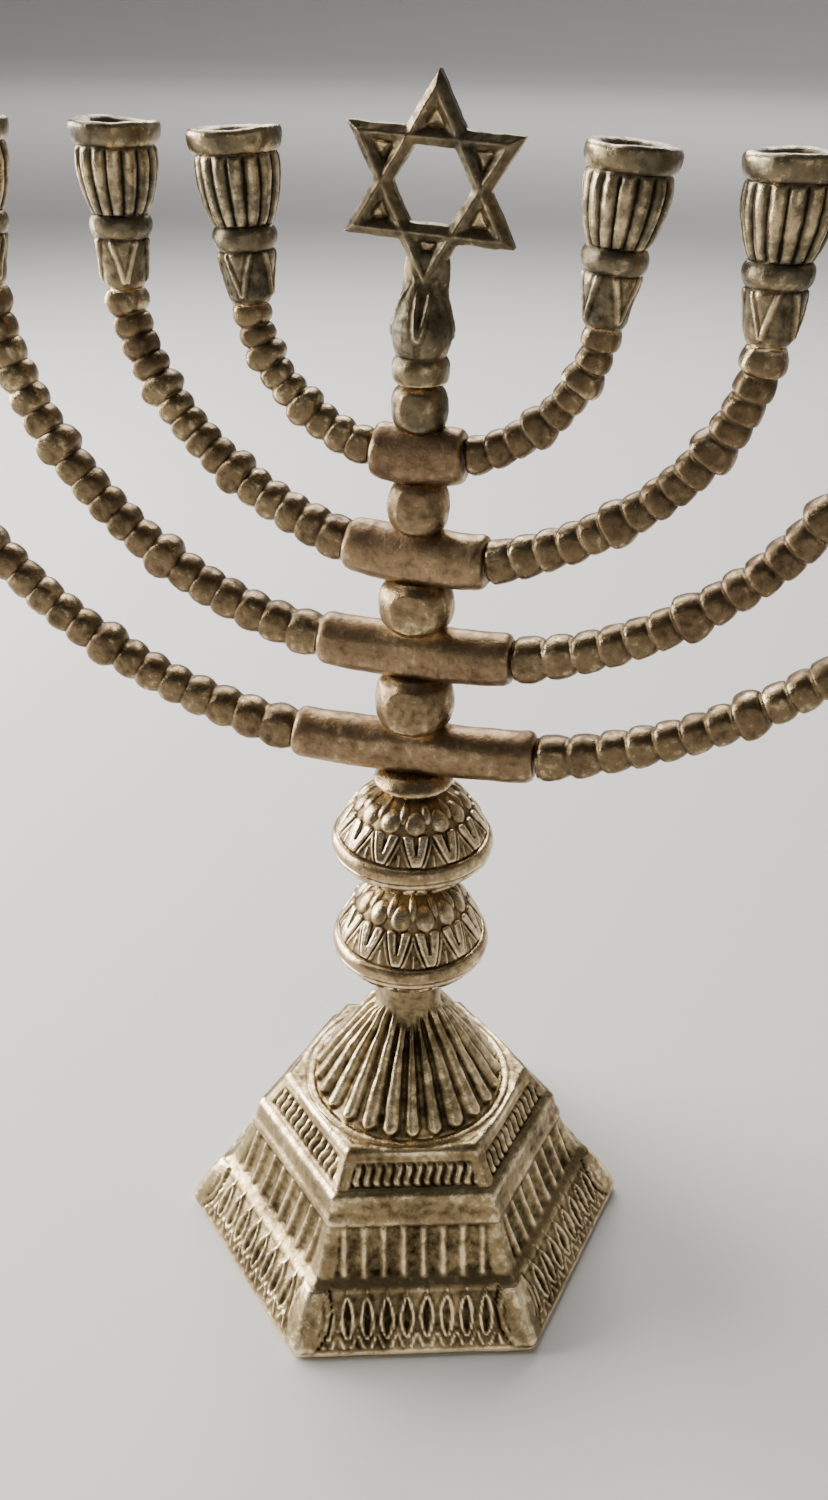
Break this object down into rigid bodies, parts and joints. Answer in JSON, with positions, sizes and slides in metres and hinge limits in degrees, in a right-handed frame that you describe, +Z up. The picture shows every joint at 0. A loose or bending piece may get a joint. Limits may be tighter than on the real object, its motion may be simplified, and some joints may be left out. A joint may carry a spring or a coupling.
{
  "type": "menorah",
  "caption": "Cast-brass table menorah: beaded arms with fluted candle cups, a star finial, lotus knops and a stepped hexagonal foot.",
  "frame": {"origin": "centre of the foot's flat underside, on the axis of the tie rod", "axes": "+X along the arms to the right-hand cups, +Y to the back, +Z up the stem to the star"},
  "size_m": [0.2784, 0.1236, 0.3043],
  "materials": {
    "golden_brass": "aged cast brass, golden olive with dark recesses and bright rubbed edges",
    "coppery_brass": "aged cast brass, matt, brownish with a coppery tint",
    "dark_brass": "aged cast brass, darker olive-brown patina",
    "steel": "dull plated steel"
  },
  "bodies": {
    "foot": {"hex_base": "golden_brass", "fluted_cone": "golden_brass", "lower_knop": "golden_brass", "upper_knop": "golden_brass"},
    "candelabrum": {"collar_bead": "golden_brass", "cross_sleeve_4": "coppery_brass", "cross_sleeve_3": "coppery_brass", "cross_sleeve_2": "coppery_brass", "cross_sleeve_1": "coppery_brass", "stem_ball_4": "golden_brass", "stem_ball_3": "golden_brass", "stem_ball_2": "golden_brass", "stem_ball_1": "golden_brass", "star_finial": "dark_brass", "arm_left_1": "dark_brass", "arm_left_2": "dark_brass", "arm_left_3": "dark_brass", "arm_left_4": "dark_brass", "arm_right_1": "dark_brass", "arm_right_2": "dark_brass", "arm_right_3": "dark_brass", "arm_right_4": "dark_brass", "cup_left_1": "dark_brass", "cup_left_2": "dark_brass", "cup_left_3": "dark_brass", "cup_left_4": "dark_brass", "cup_right_1": "dark_brass", "cup_right_2": "dark_brass", "cup_right_3": "dark_brass", "cup_right_4": "dark_brass", "tie_rod": "steel", "washer": "steel", "nut": "steel"}
  },
  "joints": [
    {"name": "candelabrum_turn", "type": "hinge", "parent": "foot", "child": "candelabrum", "pos_m": [0, 0, 0.14535], "axis": [0, 0, 1], "continuous": true}
  ]
}
